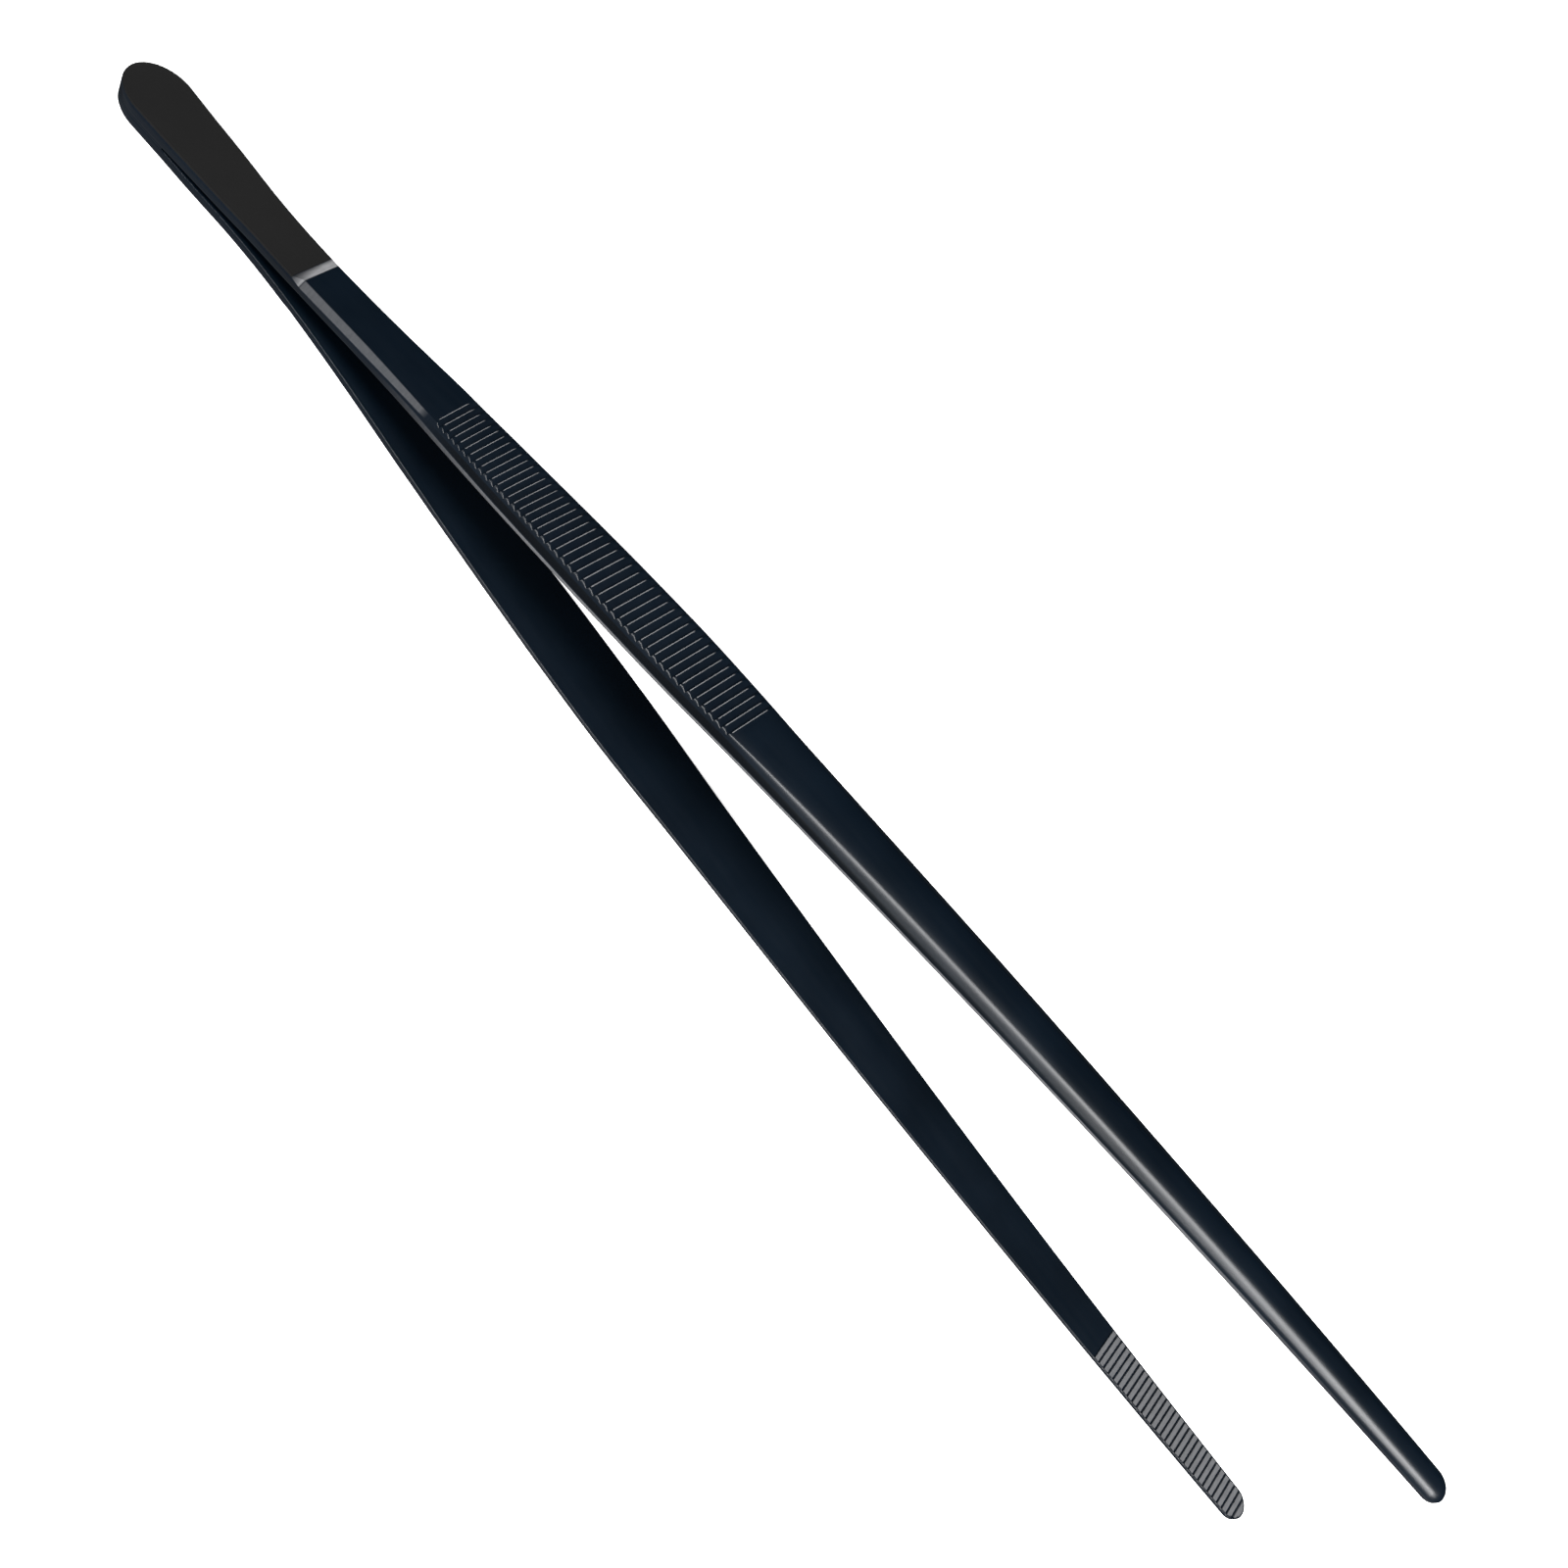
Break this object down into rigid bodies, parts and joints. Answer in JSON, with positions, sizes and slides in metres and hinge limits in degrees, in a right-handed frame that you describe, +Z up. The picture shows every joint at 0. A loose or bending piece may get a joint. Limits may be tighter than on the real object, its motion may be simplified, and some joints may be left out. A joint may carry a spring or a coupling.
{
  "type": "aquascaping tweezers",
  "caption": "Long straight black steel tweezers: two slim bowed spring arms fused at a flat round head, ridged finger grips, rounded tips with cross teeth inside.",
  "frame": {"origin": "middle of the footprint, on the surface that the arms' edges lie on", "axes": "+X from the head to the tips, +Y towards the left arm, +Z up from the surface, along the arms' width"},
  "size_m": [0.3, 0.0472, 0.0131],
  "materials": {
    "arm_coating": "satin black coating on stainless steel",
    "weld_coating": "satin black coating over a ground weld"
  },
  "bodies": {
    "head": {"left_arm_heel": "arm_coating", "right_arm_heel": "arm_coating", "head_weld": "weld_coating"},
    "left_arm": {"left_arm_neck": "arm_coating", "left_arm_grip": "arm_coating", "left_arm_shaft": "arm_coating", "left_arm_tip": "arm_coating"},
    "right_arm": {"right_arm_neck": "arm_coating", "right_arm_grip": "arm_coating", "right_arm_shaft": "arm_coating", "right_arm_tip": "arm_coating"}
  },
  "joints": [
    {"name": "left_arm_flex", "type": "hinge", "parent": "head", "child": "left_arm", "pos_m": [-0.123, 0.0014, 0.00655], "axis": [0, 0, -1], "range_deg": [0, 4.58], "stiffness_Nm_per_rad": 2.5},
    {"name": "right_arm_flex", "type": "hinge", "parent": "head", "child": "right_arm", "pos_m": [-0.123, -0.0014, 0.00655], "axis": [0, 0, 1], "range_deg": [0, 4.58], "stiffness_Nm_per_rad": 2.5}
  ]
}
